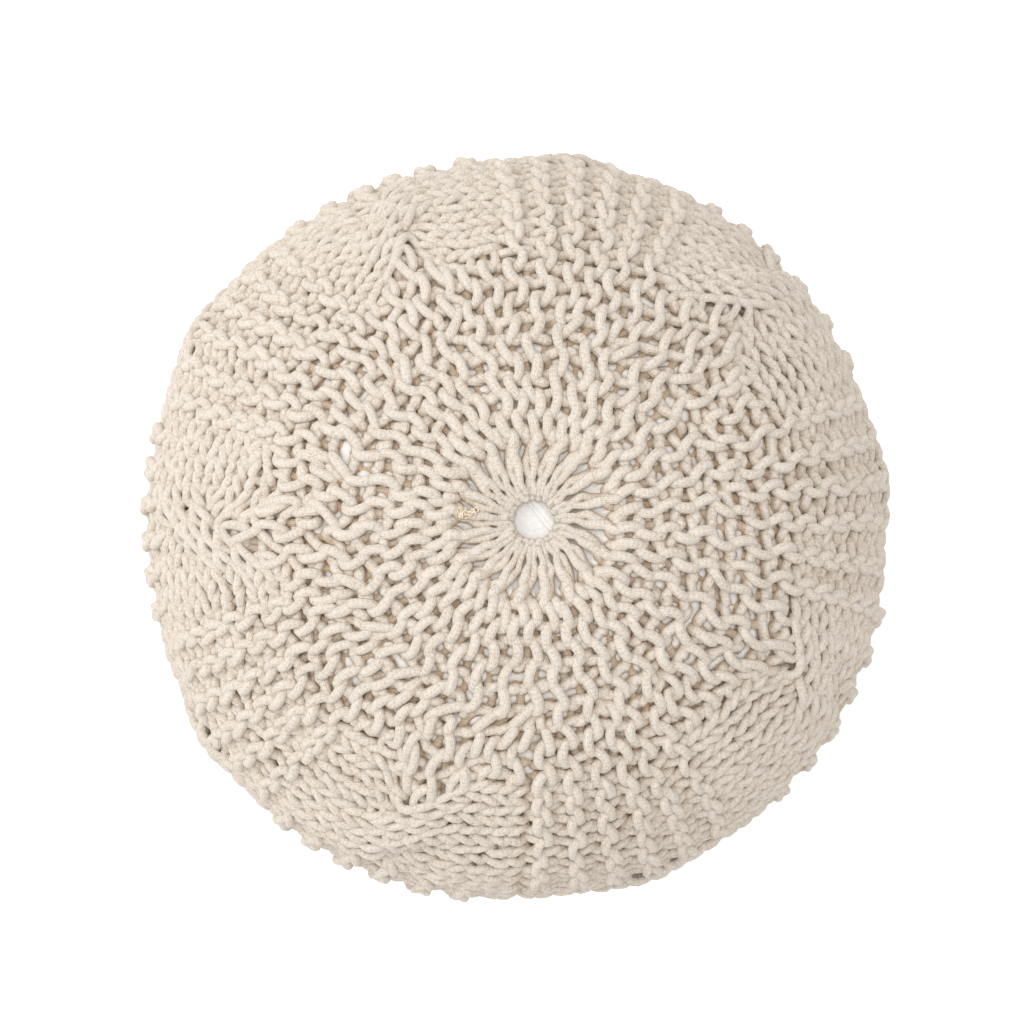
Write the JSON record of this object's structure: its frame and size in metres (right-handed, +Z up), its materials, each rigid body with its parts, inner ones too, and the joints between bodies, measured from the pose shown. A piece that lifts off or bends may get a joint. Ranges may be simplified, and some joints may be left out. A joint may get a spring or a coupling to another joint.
{
  "type": "knitted pouf",
  "caption": "Round floor pouf with a hand-knitted chunky cotton cord cover, cabled round its sides and gathered to a small hole at the top, over a white filled casing",
  "frame": {"origin": "centre of the footprint, on the floor", "axes": "+Z up through the two gathered poles, +X towards the right of the picture, +Y towards its top"},
  "size_m": [0.5072, 0.505, 0.3533],
  "materials": {
    "cotton_cord": "matt knitted cotton cord",
    "white_calico": "matt plain-woven cotton"
  },
  "bodies": {
    "root": {"knitted_cover": "cotton_cord", "inner_casing": "white_calico"}
  },
  "joints": []
}
